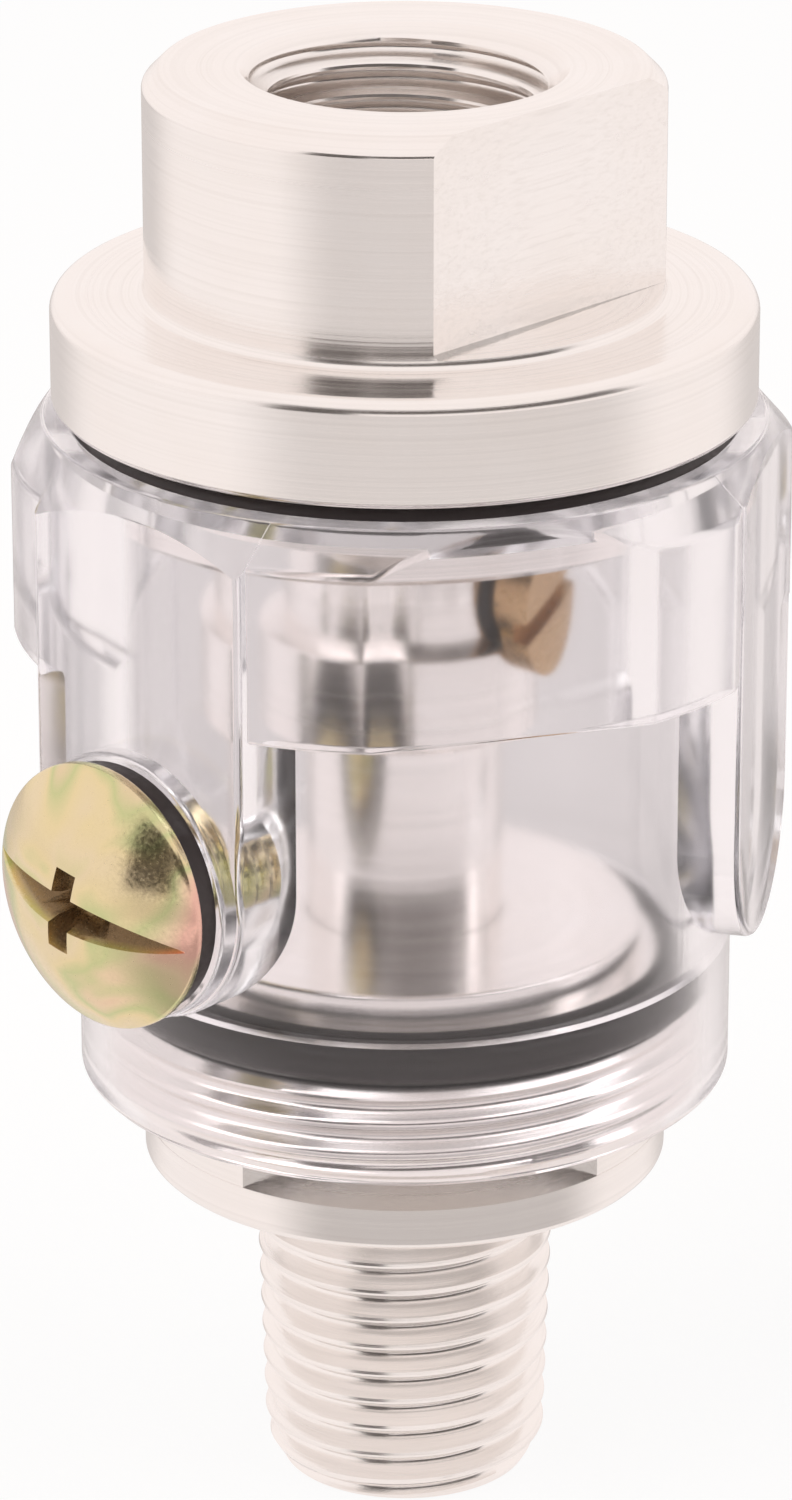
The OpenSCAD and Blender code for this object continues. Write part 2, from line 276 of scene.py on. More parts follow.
@dataclass(frozen=True)
class YellowZinc(GrainedFinish):
    """Steel with yellow chromated zinc: a thin film that shifts between straw, green, pink and bronze in clouds."""

    grain: float = 0.16
    detail: float = 3.0
    depth: float = 0.006
    spread: Point = (0.06, 0.1)
    clouds: float = 4.2
    film: tuple[tuple[float, str], ...] = (
        (0.28, "#BFBF88"), (0.40, "#D9D4A2"), (0.49, "#EAD9B4"), (0.56, "#EAD9AB"), (0.63, "#CDD09A"),
        (0.71, "#EAD3B0"), (0.80, "#EDBDAC"),
    )
    film_shift: Point = (-0.08, 0.14)
    # Painted shade: the colour that the head's slot and cross recess take towards their floors.
    recess_shade: str = "#CBBFAE"
    recess_shade_depths: Point = (0.5, 0.12)
    head_from: float = 18.4
    head_fade: float = 0.2
    head_r: float = 5.75
    ball_r: float = 8.47
    ball_centre: tuple[float, float, float] = (0.0, -12.34, 17.35)

    def material(self) -> bpy.types.Material:
        """Makes clouds of film colour over a metal with a fine plated grain, and painted shade in the head's recess."""
        material, tree, shader = self.start()
        shader.inputs["Metallic"].default_value = 1.0
        place = add_node(tree, "TexCoord")
        clouds = add_node(
            tree,
            "TexNoise",
            {"Scale": per_mm(self.clouds), "Detail": 1.6, "Roughness": 0.5, "Distortion": 0.4},
            {"Vector": place.outputs["Object"]},
        )
        centre = tuple(part * MM for part in self.ball_centre)
        out = add_node(tree, "VectorMath", {"operation": "SUBTRACT", 1: centre}, {0: place.outputs["Object"]})
        across = add_node(tree, "VectorMath", {"operation": "MULTIPLY", 1: (1.0, 0.0, 1.0)}, {0: out.outputs[0]})
        reach = add_node(tree, "VectorMath", {"operation": "LENGTH"}, {0: across.outputs[0]})
        thin, thick = self.film_shift
        shift = add_node(
            tree,
            "MapRange",
            {"From Max": self.head_r * MM, "To Min": thin, "To Max": thick, "clamp": False},
            {"Value": reach.outputs["Value"]},
        )
        layer = add_node(tree, "Math", {"operation": "ADD"}, {0: clouds.outputs["Fac"], 1: shift.outputs[0]})
        film = add_node(tree, "ValToRGB", None, {"Fac": layer.outputs[0]})
        stops = film.color_ramp.elements
        while len(stops) < len(self.film):
            stops.new(0.5)
        for stop, (position, colour) in zip(stops, self.film):
            stop.position = position
            stop.color = linear(colour)
        # Painted shade: the recess darkens with depth below the dome, only on the head, where shade falls.
        depth = add_node(tree, "VectorMath", {"operation": "LENGTH"}, {0: out.outputs[0]})
        deep, shallow = ((self.ball_r - part) * MM for part in self.recess_shade_depths)
        recess_shade = add_node(
            tree,
            "MapRange",
            {"From Min": deep, "From Max": shallow, "To Min": 1.0, "To Max": 0.0},
            {"Value": depth.outputs["Value"]},
        )
        parts = add_node(tree, "SeparateXYZ", None, {0: place.outputs["Object"]})
        front, behind = -(self.head_from + self.head_fade) * MM, -self.head_from * MM
        head = add_node(
            tree,
            "MapRange",
            {"From Min": front, "From Max": behind, "To Min": 1.0, "To Max": 0.0},
            {"Value": parts.outputs["Y"]},
        )
        recess_shade = add_node(tree, "Math", {"operation": "MULTIPLY"}, {0: recess_shade.outputs[0], 1: head.outputs[0]})
        recess_shaded = add_node(
            tree, "Mix", {"data_type": "RGBA", 7: linear(self.recess_shade)}, {0: recess_shade.outputs[0], 6: film.outputs["Color"]}
        )
        tree.links.new(recess_shaded.outputs[2], shader.inputs["Base Color"])
        self.add_grain(tree, shader)
        return material


def lathe(
    points: Sequence[Point], rounds: Mapping[int, float] | None = None, closed: bool = False, steps: int = TURN_STEPS
) -> BMesh:
    """Turns a profile about Z.

    Args:
        points: radius and height of each corner.
        rounds: how far each corner, by its number, is rounded off.
        closed: whether the last corner joins the first.
        steps: faces round a full turn.

    Returns:
        The turned wall.
    """
    bm = bmesh.new()
    corners = [bm.verts.new((r, 0.0, z)) for r, z in points]
    for a, b in zip(corners, corners[1:] + corners[:1] if closed else corners[1:]):
        bm.edges.new((a, b))
    for number, size in (rounds or {}).items():
        bmesh.ops.bevel(
            bm, geom=[corners[number]], offset=size, segments=4, profile=0.5, affect="VERTICES", material=-1
        )
    bmesh.ops.spin(
        bm, geom=bm.verts[:] + bm.edges[:], axis=(0.0, 0.0, 1.0), angle=FULL_TURN, steps=steps, use_merge=True
    )
    bmesh.ops.remove_doubles(bm, verts=bm.verts[:], dist=NEAR)
    return bm


def thread(
    low: float,
    high: float,
    pitch: float,
    ridge: Sequence[Point],
    bound: Callable[[float, float], float],
    steps: int = TURN_STEPS,
    phase: float = 0.0,
) -> BMesh:
    """Sweeps a screw thread's wall between two heights.

    Args:
        low: height of the lower end.
        high: height of the upper end.
        pitch: height of a turn.
        ridge: radius, and share of the pitch, of one ridge's corners.
        bound: gives the radius at a height from the ridge's radius there, to taper or chamfer the wall.
        steps: faces round a full turn.
        phase: share of the pitch by which the ridges are raised.

    Returns:
        The wall, open at both ends.
    """
    bm = bmesh.new()
    turns = math.ceil((high - low) / pitch) + 3
    start = low + (phase - 1.5) * pitch
    chain = [bm.verts.new((r, 0.0, start + (turn + share) * pitch)) for turn in range(turns) for r, share in ridge]
    for a, b in zip(chain, chain[1:]):
        bm.edges.new((a, b))
    bmesh.ops.spin(
        bm,
        geom=bm.verts[:] + bm.edges[:],
        axis=(0.0, 0.0, 1.0),
        dvec=(0.0, 0.0, pitch / steps),
        angle=FULL_TURN,
        steps=steps,
    )
    bmesh.ops.remove_doubles(bm, verts=bm.verts[:], dist=NEAR * 10)
    for height, side in ((low, -1.0), (high, 1.0)):
        bmesh.ops.bisect_plane(
            bm,
            geom=bm.verts[:] + bm.edges[:] + bm.faces[:],
            dist=NEAR,
            plane_co=(0.0, 0.0, height),
            plane_no=(0.0, 0.0, side),
            clear_outer=True,
        )
    for v in bm.verts:
        radius = v.co.xy.length
        v.co.xy *= bound(v.co.z, radius) / radius
    return bm


def joined(parts: Iterable[BMesh]) -> BMesh:
    """Puts several meshes into one and frees them."""
    whole = bmesh.new()
    for part in parts:
        mesh = bpy.data.meshes.new("part")
        part.to_mesh(mesh)
        part.free()
        whole.from_mesh(mesh)
        bpy.data.meshes.remove(mesh)
    return whole


def rim_edges(bm: BMesh, *heights: float) -> list[bmesh.types.BMEdge]:
    """Open edges that lie at any of these heights."""
    return [
        e
        for e in bm.edges
        if e.is_boundary and any(all(abs(v.co.z - height) < 10 * NEAR for v in e.verts) for height in heights)
    ]


def as_object(name: str, bm: BMesh, place: Matrix | None = None) -> bpy.types.Object:
    """Makes an object of a mesh, with its place in its vertices and its faces outwards.

    Args:
        name: the object's name.
        bm: the mesh in millimetres, which is freed.
        place: where the mesh goes, in millimetres.

    Returns:
        The object, in metres.
    """
    bmesh.ops.transform(bm, matrix=Matrix.Scale(MM, 4) @ (place or Matrix.Identity(4)), verts=bm.verts[:])
    bmesh.ops.recalc_face_normals(bm, faces=bm.faces[:])
    mesh = bpy.data.meshes.new(name)
    bm.to_mesh(mesh)
    bm.free()
    obj = bpy.data.objects.new(name, mesh)
    bpy.context.scene.collection.objects.link(obj)
    return obj


def combine(obj: bpy.types.Object, tools: Iterable[bpy.types.Object], operation: str) -> None:
    """Joins or cuts an object with others, which are removed.

    Args:
        obj: the object that changes.
        tools: closed meshes.
        operation: UNION, DIFFERENCE or INTERSECT.
    """
    used = list(tools)
    for tool in used:
        step = obj.modifiers.new("step", "BOOLEAN")
        step.operation = operation
        step.solver = "EXACT"
        step.object = tool
    done = bpy.data.meshes.new_from_object(obj.evaluated_get(bpy.context.evaluated_depsgraph_get()))
    obj.modifiers.clear()
    bm = bmesh.new()
    bm.from_mesh(done)
    bmesh.ops.remove_doubles(bm, verts=bm.verts[:], dist=WELD)
    bmesh.ops.dissolve_degenerate(bm, edges=bm.edges[:], dist=WELD)
    bm.to_mesh(done)
    bm.free()
    old, obj.data = obj.data, done
    done.name = obj.name
    bpy.data.meshes.remove(old)
    for tool in used:
        mesh = tool.data
        bpy.data.objects.remove(tool)
        bpy.data.meshes.remove(mesh)


def dress(
    obj: bpy.types.Object, material: bpy.types.Material, body: Body, node: str, crease: float = 35.0
) -> None:
    """Gives a new piece its finish, its body and the CAD node that it stands for.

    Args:
        obj: the piece.
        material: its finish.
        body: the body that carries it.
        node: the CAD node that it replaces.
        crease: angle in degrees above which an edge stays sharp.
    """
    obj.data.materials.clear()
    obj.data.materials.append(material)
    obj.data.shade_smooth()
    obj.data.set_sharp_from_angle(angle=math.radians(crease))
    level = obj.modifiers.new("even_normals", "WEIGHTED_NORMAL")
    level.keep_sharp = True
    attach(obj, body.value)
    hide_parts(node)
    log.info("%s: %d faces", obj.name, len(obj.data.polygons))


# One ridge of a cut pipe thread, with its rounded root and crest: share of the depth, and share of the pitch.
RIDGE = ((0.0, 0.0), (0.05, 0.09), (0.28, 0.2), (0.72, 0.32), (0.95, 0.41), (1.0, 0.5), (0.95, 0.59), (0.72, 0.68),
         (0.28, 0.8), (0.05, 0.91))


def ridge(crest: float, root: float) -> list[Point]:
    """Corners of one ridge between two radii."""
    return [(root + depth * (crest - root), share) for depth, share in RIDGE]


@dataclass
class InletCap:
    """The turned cap: inlet thread, neck with a flat, flange, spigot, and stem with its throat and foot."""

    top: float = 49.25
    neck_r: float = 11.0
    neck_edge: float = 0.7
    flat: float = 8.5
    flat_turn: float = 89.0
    flange_r: float = 15.0
    flange_low: float = 34.85
    flange_top: float = 39.5
    edge: float = 0.25
    flange_edge: float = 0.4
    shelf: float = 0.65
    mouth_r: float = 6.9
    minor_r: float = 5.7225
    major_r: float = 6.5785
    pitch: float = 1.337
    inlet_low: float = 38.45
    inlet_phase: float = -0.54
    spigot_r: float = 12.15
    spigot_low: float = 31.05
    stem_r: float = 5.2
    ledge: float = 25.55
    foot_r: float = 6.3
    foot_low: float = 21.05
    socket_r: float = 4.28
    socket_top: float = 23.65
    passage_r: float = 2.6
    throat_r: float = 1.9
    throat_low: float = 26.15
    throat_high: float = 28.75
    metering_z: float = 27.45
    metering_turn: float = 100.0
    metering_bore: tuple[Point, ...] = (
        (0.0, 0.0), (0.7, 0.0), (0.7, 3.1), (1.55, 3.1), (1.55, 4.3), (2.53, 4.3), (2.53, 7.0), (0.0, 7.0)
    )
    drill_slope: float = 30.0
    inlet_step: float = 0.2

    def body(self) -> BMesh:
        """Turns the outside and the passage, with the inlet's wall left open."""
        taper = self.socket_top - self.throat_low
        drill = math.tan(math.radians(self.drill_slope))
        inlet_edge = self.minor_r - self.inlet_step
        return lathe(
            [
                (self.mouth_r, self.top), (self.neck_r - self.neck_edge, self.top),
                (self.neck_r, self.top - self.neck_edge), (self.neck_r, self.flange_top + self.shelf),
                (self.neck_r, self.flange_top), (self.flange_r - self.flange_edge, self.flange_top),
                (self.flange_r, self.flange_top - self.flange_edge), (self.flange_r, self.flange_low + self.edge),
                (self.flange_r - self.edge, self.flange_low), (self.spigot_r, self.flange_low),
                (self.spigot_r, self.spigot_low + self.edge), (self.spigot_r - self.edge, self.spigot_low),
                (self.stem_r, self.spigot_low), (self.stem_r, self.ledge), (self.foot_r, self.ledge),
                (self.foot_r, self.foot_low + self.edge), (self.foot_r - self.edge, self.foot_low),
                (self.socket_r, self.foot_low), (self.socket_r, self.socket_top), (self.passage_r, self.socket_top),
                (self.throat_r, self.throat_low), (self.throat_r, self.throat_high),
                (self.passage_r, self.throat_high - taper),
                (self.passage_r, self.inlet_low - (self.minor_r - self.passage_r) * drill),
                (inlet_edge, self.inlet_low - (self.minor_r - inlet_edge) * drill),
            ],
            {1: 0.12, 2: 0.12, 4: 0.4, 5: 0.25, 6: 0.25, 7: 0.1, 8: 0.1, 12: 0.25, 14: 0.12},
        )

    def inlet(self) -> BMesh:
        """Cuts the female thread, which the countersink opens at the top and which runs out at the bottom."""

        def bound(z: float, r: float) -> float:
            """Keeps the wall outside the countersink and inside the run-out."""
            return max(min(r, self.minor_r + z - self.inlet_low), self.mouth_r - (self.top - z))

        high = self.top - (self.mouth_r - self.major_r)
        turns = ridge(self.minor_r, self.major_r)
        return thread(self.inlet_low, high, self.pitch, turns, bound, phase=self.inlet_phase)

    def cut_flat(self, bm: BMesh) -> None:
        """Cuts the neck's flat down to the shelf above the flange.

        Args:
            bm: the cap's mesh.
        """
        foot = self.flange_top + self.shelf
        side = radial(0.0, self.flat_turn).to_3x3() @ Vector((0.0, 0.0, 1.0))
        faces = [
            f
            for f in bm.faces
            if all(v.co.z > foot - 10 * NEAR and v.co.xy.length > self.mouth_r - 10 * NEAR for v in f.verts)
        ]
        around = {e for f in faces for e in f.edges} | {v for f in faces for v in f.verts}
        bmesh.ops.bisect_plane(
            bm, geom=faces + list(around), dist=NEAR, plane_co=side * self.flat, plane_no=side, clear_outer=True
        )
        level = [e for e in bm.edges if e.is_boundary and all(v.co.dot(side) > self.flat - 10 * NEAR for v in e.verts)]
        cut = [e for e in level if all(v.co.dot(side) < self.flat + 10 * NEAR for v in e.verts)]
        arc = [e for e in level if e not in cut]
        low = [v for v in {v for e in cut for v in e.verts} if abs(v.co.z - foot) < 10 * NEAR]
        chord = bm.edges.new(low)
        bmesh.ops.contextual_create(bm, geom=cut + [chord])
        bmesh.ops.contextual_create(bm, geom=arc + [chord])
        # The cut also takes a small face below the shelf at each end of the flat.
        bmesh.ops.holes_fill(bm, edges=[e for e in bm.edges if e.is_boundary], sides=6)

    def make(self, metal: bpy.types.Material) -> None:
        """Builds and dresses the cap.

        Args:
            metal: its finish.
        """
        bm = joined([self.body(), self.inlet()])
        drill = math.tan(math.radians(self.drill_slope))
        bmesh.ops.bridge_loops(bm, edges=rim_edges(bm, self.top, self.top - (self.mouth_r - self.major_r)))
        bmesh.ops.bridge_loops(bm, edges=rim_edges(bm, self.inlet_low, self.inlet_low - self.inlet_step * drill))
        self.cut_flat(bm)
        cap = as_object("inlet_cap_turned", bm)
        bore = lathe(self.metering_bore, steps=48)
        tool = as_object("tool", bore, radial(self.metering_z, self.metering_turn))
        combine(cap, [tool], "DIFFERENCE")
        dress(cap, metal, Body.HOUSING, "inlet_cap")


def radial(height: float, turn: float) -> Matrix:
    """Place that points +Z out of the bowl.

    Args:
        height: height on the bowl's axis.
        turn: direction in degrees from -Y towards +X.

    Returns:
        The matrix, in millimetres.
    """
    return (
        Matrix.Translation((0.0, 0.0, height))
        @ Matrix.Rotation(math.radians(turn), 4, "Z")
        @ Matrix.Rotation(math.radians(90.0), 4, "X")
    )


@dataclass
class OutletPlug:
    """The turned plug: male pipe thread, rim, wrench flats, the screwed part in the bowl, and the seat of the tube."""

    thread_low: float = -14.85
    thread_r: float = 6.64
    thread_depth: float = 0.856
    pitch: float = 1.337
    taper: float = 1.0 / 32.0
    lead_r: float = 5.5785
    lead: float = 1.8
    bore_r: float = 3.2
    rim_r: float = 11.45
    rim_h: float = 2.0
    rim_edge: float = 0.35
    flats: float = 8.5
    flats_turn: float = 48.0
    bowl_low: float = 4.25
    screw_r: float = 13.0
    screw_depth: float = 0.55
    screw_pitch: float = 1.37
    screw_top: float = 8.35
    ring_seat_r: float = 10.99
    ring_seat_top: float = 10.41
    top_r: float = 10.3
    top: float = 11.7
    socket_r: float = 4.28
    socket_low: float = 8.3
    groove_r: float = 5.31
    groove_low: float = 9.47
    groove_high: float = 10.53
    hub_gap: float = 0.02
    thread_gap: float = 0.8
    screw_step: float = 0.2
    lead_step: float = 0.1
    run_out: float = 1.6

    def hub(self) -> BMesh:
        """Turns the rim and the hub above it, and presses the hub's two flats in."""
        hub_r = self.rim_r - self.hub_gap
        bm = lathe(
            [
                (self.thread_r + self.thread_gap, 0.0), (self.rim_r - self.rim_edge, 0.0), (self.rim_r, self.rim_edge),
                (self.rim_r, self.rim_h), (hub_r, self.rim_h), (hub_r, self.bowl_low),
                (self.screw_r - self.screw_depth - self.screw_step, self.bowl_low),
            ],
            {1: 0.12, 2: 0.12},
        )
        corner = math.acos(self.flats / hub_r)
        for v in bm.verts:
            if abs(v.co.xy.length - hub_r) > NEAR * 10:
                continue
            for side in (0.0, 180.0):
                normal = radial(0.0, self.flats_turn + side).to_3x3() @ Vector((0.0, 0.0, 1.0))
                across = normal.cross(Vector((0.0, 0.0, 1.0)))
                angle = math.atan2(v.co.dot(across), v.co.dot(normal))
                if abs(abs(angle) - corner) < FULL_TURN / TURN_STEPS / 2:
                    angle = math.copysign(corner, angle)
                if abs(angle) <= corner:
                    v.co = normal * self.flats + across * (hub_r * math.sin(angle)) + Vector((0.0, 0.0, v.co.z))
        return bm

    def inside(self) -> BMesh:
        """Turns the plug's top, the socket of the air tube and the outlet's bore."""
        return lathe(
            [
                (self.screw_r - self.screw_depth - self.screw_step, self.screw_top), (self.ring_seat_r, self.screw_top),
                (self.ring_seat_r, self.ring_seat_top), (self.top_r, self.ring_seat_top), (self.top_r, self.top),
                (self.socket_r, self.top), (self.socket_r, self.groove_high), (self.groove_r, self.groove_high),
                (self.groove_r, self.groove_low), (self.socket_r, self.groove_low), (self.socket_r, self.socket_low),
                (self.bore_r, self.socket_low), (self.bore_r, self.thread_low), (self.lead_r - 0.4, self.thread_low),
            ],
            {4: 0.2, 12: 0.3},
        )

    def outlet(self) -> BMesh:
        """Cuts the male thread, slightly tapered, with its lead-in and its run-out under the rim."""
        root = self.thread_r - self.thread_depth

        def bound(z: float, r: float) -> float:
            """Tapers the wall and keeps it inside the lead-in and the run-out."""
            slope = (self.thread_r - self.lead_r) / self.lead
            lead = self.lead_r - self.lead_step + (z - self.thread_low) * slope
            return min(r + z * self.taper, lead, root - self.run_out * z)

        return thread(self.thread_low, 0.0, self.pitch, ridge(self.thread_r, root), bound)

    def screw(self) -> BMesh:
        """Cuts the thread that holds the plug in the bowl."""
        root = self.screw_r - self.screw_depth

        def bound(z: float, r: float) -> float:
            """Chamfers both ends of the thread."""
            return min(r, root + z - self.bowl_low, root + self.screw_top - z)

        return thread(self.bowl_low, self.screw_top, self.screw_pitch, ridge(self.screw_r, root), bound)

    def make(self, metal: bpy.types.Material) -> None:
        """Builds and dresses the plug.

        Args:
            metal: its finish.
        """
        bm = joined([self.hub(), self.inside(), self.outlet(), self.screw()])
        for height in (0.0, self.bowl_low, self.screw_top, self.thread_low):
            bmesh.ops.triangle_fill(bm, edges=rim_edges(bm, height), use_beauty=True, normal=(0.0, 0.0, 1.0))
        dress(as_object("outlet_plug_turned", bm), metal, Body.HOUSING, "outlet_plug")


@dataclass
class Bowl:
    """The moulded bowl: round wall, six-sided collar, filler boss with its seat and hole, and two ribs."""

    low: float = 4.25
    top: float = 34.2
    outer_r: float = 14.2
    bore_r: float = 12.2
    seal_r: float = 13.05
    seal_top: float = 10.41
    seat_r: float = 14.25
    seat_low: float = 32.75
    edge: float = 0.4
    collar_r: float = 15.67
    corner_r: float = 16.79
    collar_low: float = 24.9
    collar_slope: float = 8.0
    top_r: float = 15.4
    top_slope: float = 49.0
    soft_edge: float = 0.22
    filler_z: float = 17.35
    filler_seat_r: float = 5.8
    filler_seat: float = 17.0
    hole_r: float = 2.55
    hole_ends: Point = (9.0, 18.0)
    boss: tuple[float, float] = (16.2, 6.0)
    rib: tuple[float, float] = (15.8, 5.4)
    rib_z: float = 17.25
    rib_turns: tuple[float, ...] = (-120.0, 120.0)
    pad_back: float = 12.5
    pad_edge: float = 0.3
    pad_proud: float = 0.06

    def wall(self) -> BMesh:
        """Turns the wall and the collar, and presses the collar to its six sides."""
        under = math.tan(math.radians(self.collar_slope))
        fall = math.tan(math.radians(self.top_slope))
        bm = lathe(
            [
                (self.seal_r, self.low), (self.outer_r - self.edge, self.low), (self.outer_r, self.low + self.edge),
                (self.outer_r, self.collar_low - (self.collar_r - self.outer_r) * under),
                (self.top_r, self.collar_low - (self.collar_r - self.top_r) * under), (self.corner_r, self.collar_low),
                (self.corner_r, self.top - (self.corner_r - self.top_r) * fall), (self.top_r, self.top),
                (self.seat_r, self.top), (self.seat_r, self.seat_low), (self.bore_r, self.seat_low),
                (self.bore_r, self.seal_top), (self.seal_r, self.seal_top),
            ],
            {1: 0.15, 2: 0.15, 3: 0.4, 5: self.soft_edge, 6: self.soft_edge, 7: 0.12, 8: 0.15},
            closed=True,
        )
        corner = math.acos(self.collar_r / self.corner_r)
        sixth = FULL_TURN / 6
        for v in bm.verts:
            radius = v.co.xy.length
            if radius < self.corner_r - self.soft_edge - NEAR * 10:
                continue
            angle = math.atan2(v.co.x, -v.co.y)
            face = round(angle / sixth) * sixth
            off = angle - face
            if abs(abs(off) - corner) < FULL_TURN / TURN_STEPS / 2:
                off = math.copysign(corner, off)
            press = max(0.0, self.corner_r - self.collar_r / math.cos(off))
            if v.co.z > (self.collar_low + self.top) / 2:
                v.co.z += press * fall
            v.co.x = (radius - press) * math.sin(face + off)
            v.co.y = (press - radius) * math.cos(face + off)
        return bm

    def pad(self, face: float, half: float, height: float, turn: float) -> BMesh:
        """Makes a flat pad with straight sides and a half-round lower end.

        Args:
            face: distance of its face from the axis.
            half: half its width.
            height: height of the centre of its lower end.
            turn: direction that it faces, in degrees from the filler.

        Returns:
            The pad, as a closed mesh that reaches into the wall.
        """
        bm = bmesh.new()
        start = bm.verts.new((half, -self.pad_back, 0.0))
        bmesh.ops.spin(bm, geom=[start], cent=(0.0, -self.pad_back, 0.0), axis=(0.0, 1.0, 0.0), angle=math.pi, steps=48)
        ends = sorted((v for v in bm.verts if len(v.link_edges) == 1), key=lambda v: v.co.x)
        tops = [bm.verts.new((v.co.x, v.co.y, self.top + 1.0 - height)) for v in ends]
        for a, b in ((ends[0], tops[0]), (tops[0], tops[1]), (tops[1], ends[1])):
            bm.edges.new((a, b))
        back = bmesh.ops.contextual_create(bm, geom=bm.edges[:])["faces"]
        grown = bmesh.ops.extrude_face_region(bm, geom=back, use_keep_orig=True)["geom"]
        moved = [v for v in grown if isinstance(v, bmesh.types.BMVert)]
        bmesh.ops.translate(bm, vec=(0.0, self.pad_back - face, 0.0), verts=moved)
        front = {e for f in grown if isinstance(f, bmesh.types.BMFace) for e in f.edges}
        bmesh.ops.bevel(
            bm, geom=list(front), offset=self.pad_edge, segments=4, profile=0.5, affect="EDGES", material=-1
        )
        place = Matrix.Rotation(math.radians(turn), 4, "Z") @ Matrix.Translation((0.0, 0.0, height))
        bmesh.ops.transform(bm, matrix=place, verts=bm.verts[:])
        bmesh.ops.recalc_face_normals(bm, faces=bm.faces[:])
        return bm

    def pad_room(self) -> BMesh:
        """Turns the ring that the pads are cut to: from inside the wall out to the slope of the collar's top."""
        fall = math.tan(math.radians(self.top_slope))
        reach = 5.0
        shy = self.top - self.pad_proud / 2
        wall_r = (self.bore_r + self.outer_r) / 2
        inner_r = (self.seat_r + self.top_r) / 2
        return lathe(
            [
                (wall_r, self.low + 1.0), (wall_r, self.seat_low - 0.3), (inner_r, self.seat_low - 0.3), (inner_r, shy),
                (self.top_r + (self.top + self.pad_proud - shy) / fall, shy),
                (self.top_r + reach, self.top + self.pad_proud - reach * fall), (self.top_r + reach, self.low + 1.0),
            ],
            closed=True,
        )

    def make(self, plastic: bpy.types.Material) -> None:
        """Builds and dresses the bowl.

        Args:
            plastic: its finish.
        """
        bowl = as_object("bowl_moulded", self.wall())
        seat = lathe(
            [
                (0.0, self.pad_back + 1.0), (self.filler_seat_r, self.pad_back + 1.0),
                (self.filler_seat_r, self.filler_seat), (0.0, self.filler_seat),
            ],
            {2: 0.2},
            steps=96,
        )
        pads = [self.pad(*self.boss, self.filler_z, 0.0)]
        pads += [self.pad(*self.rib, self.rib_z, turn) for turn in self.rib_turns]
        grown = as_object("pads", joined(pads))
        combine(grown, [as_object("room", self.pad_room())], "INTERSECT")
        combine(bowl, [grown, as_object("seat", seat, radial(self.filler_z, 0.0))], "UNION")
        start, end = self.hole_ends
        hole = lathe([(0.0, start), (self.hole_r, start), (self.hole_r, end), (0.0, end)], steps=64)
        combine(bowl, [as_object("hole", hole, radial(self.filler_z, 0.0))], "DIFFERENCE")
        dress(bowl, plastic, Body.HOUSING, "bowl")


@dataclass
class FillerScrew:
    """The plated filler screw: a flat dome with a slot and a cross recess, and a threaded shank."""

    height: float = 17.35
    tip: float = 10.06
    under: float = 18.06
    rim: float = 0.5
    edge_round: float = 0.12
    apex: float = 20.81
    head_r: float = 5.75
    shank_r: float = 2.5
    thread_depth: float = 0.42
    pitch: float = 0.8
    slot_w: float = 1.5
    slot_depth: float = 2.0
    cross: float = 4.6
    cross_w: float = 1.25
    cross_low: float = 18.56
    turn: float = 171.0

    def solid(self) -> BMesh:
        """Turns the head, cuts the shank's thread and closes the tip."""
        edge = self.under + self.rim
        drop = self.apex - edge
        ball = (self.head_r**2 + drop**2) / (2 * drop)
        root = self.shank_r - self.thread_depth
        head = bmesh.new()
        chain = [head.verts.new((r, 0.0, z)) for r, z in ((self.shank_r + 0.2, self.under), (self.head_r, self.under))]
        chain.append(head.verts.new((self.head_r, 0.0, edge)))
        for a, b in zip(chain, chain[1:]):
            head.edges.new((a, b))
        bmesh.ops.spin(
            head,
            geom=[chain[2]],
            cent=(0.0, 0.0, self.apex - ball),
            axis=(0.0, 1.0, 0.0),
            angle=-math.asin(self.head_r / ball),
            steps=24,
        )
        bmesh.ops.bevel(
            head, geom=chain[1:3], offset=self.edge_round, segments=3, profile=0.5, affect="VERTICES", material=-1
        )
        bmesh.ops.spin(
            head, geom=head.verts[:] + head.edges[:], axis=(0.0, 0.0, 1.0), angle=FULL_TURN, steps=96, use_merge=True
        )
        bmesh.ops.remove_doubles(head, verts=head.verts[:], dist=10 * NEAR)

        def bound(z: float, r: float) -> float:
            """Chamfers the tip and runs the thread out under the head."""
            return min(r, root - 0.2 + z - self.tip, root + self.under - z)

        bm = joined([head, thread(self.tip, self.under, self.pitch, ridge(self.shank_r, root), bound, 96)])
        bmesh.ops.bridge_loops(bm, edges=rim_edges(bm, self.under))
        bmesh.ops.edgeloop_fill(bm, edges=rim_edges(bm, self.tip))
        return bm

    def recess(self, place: Matrix) -> list[bpy.types.Object]:
        """Makes the tools that cut the slot and the cross recess.

        Args:
            place: where the screw goes.

        Returns:
            The tools, as closed meshes.
        """
        tools = []
        high = self.apex + 1.0
        slot_low = self.apex - self.slot_depth
        slot_w = self.slot_w * (high - slot_low) / self.slot_depth
        for name, long, wide, low, quarter, foot_size in (
            ("slot", 2.4 * self.head_r, slot_w, slot_low, 0.0, (1.0, 0.03, 1.0)),
            ("arm", self.cross, self.cross_w, self.cross_low, 0.0, (0.45, 0.7, 1.0)),
            ("arm", self.cross, self.cross_w, self.cross_low, 90.0, (0.45, 0.7, 1.0)),
        ):
            bm = bmesh.new()
            bmesh.ops.create_cube(bm, size=1.0)
            bmesh.ops.scale(bm, vec=(long, wide, high - low), verts=bm.verts[:])
            bmesh.ops.translate(bm, vec=(0.0, 0.0, (high + low) / 2), verts=bm.verts[:])
            bmesh.ops.scale(bm, vec=foot_size, verts=[v for v in bm.verts if v.co.z < self.apex])
            tools.append(as_object(name, bm, place @ Matrix.Rotation(math.radians(self.turn + quarter), 4, "Z")))
        return tools

    def make(self, zinc: bpy.types.Material) -> None:
        """Builds and dresses the screw.

        Args:
            zinc: its finish.
        """
        place = radial(self.height, 0.0)
        screw = as_object("filler_screw_plated", self.solid(), place)
        combine(screw, self.recess(place), "DIFFERENCE")
        dress(screw, zinc, Body.FILLER_SCREW, "filler_screw")


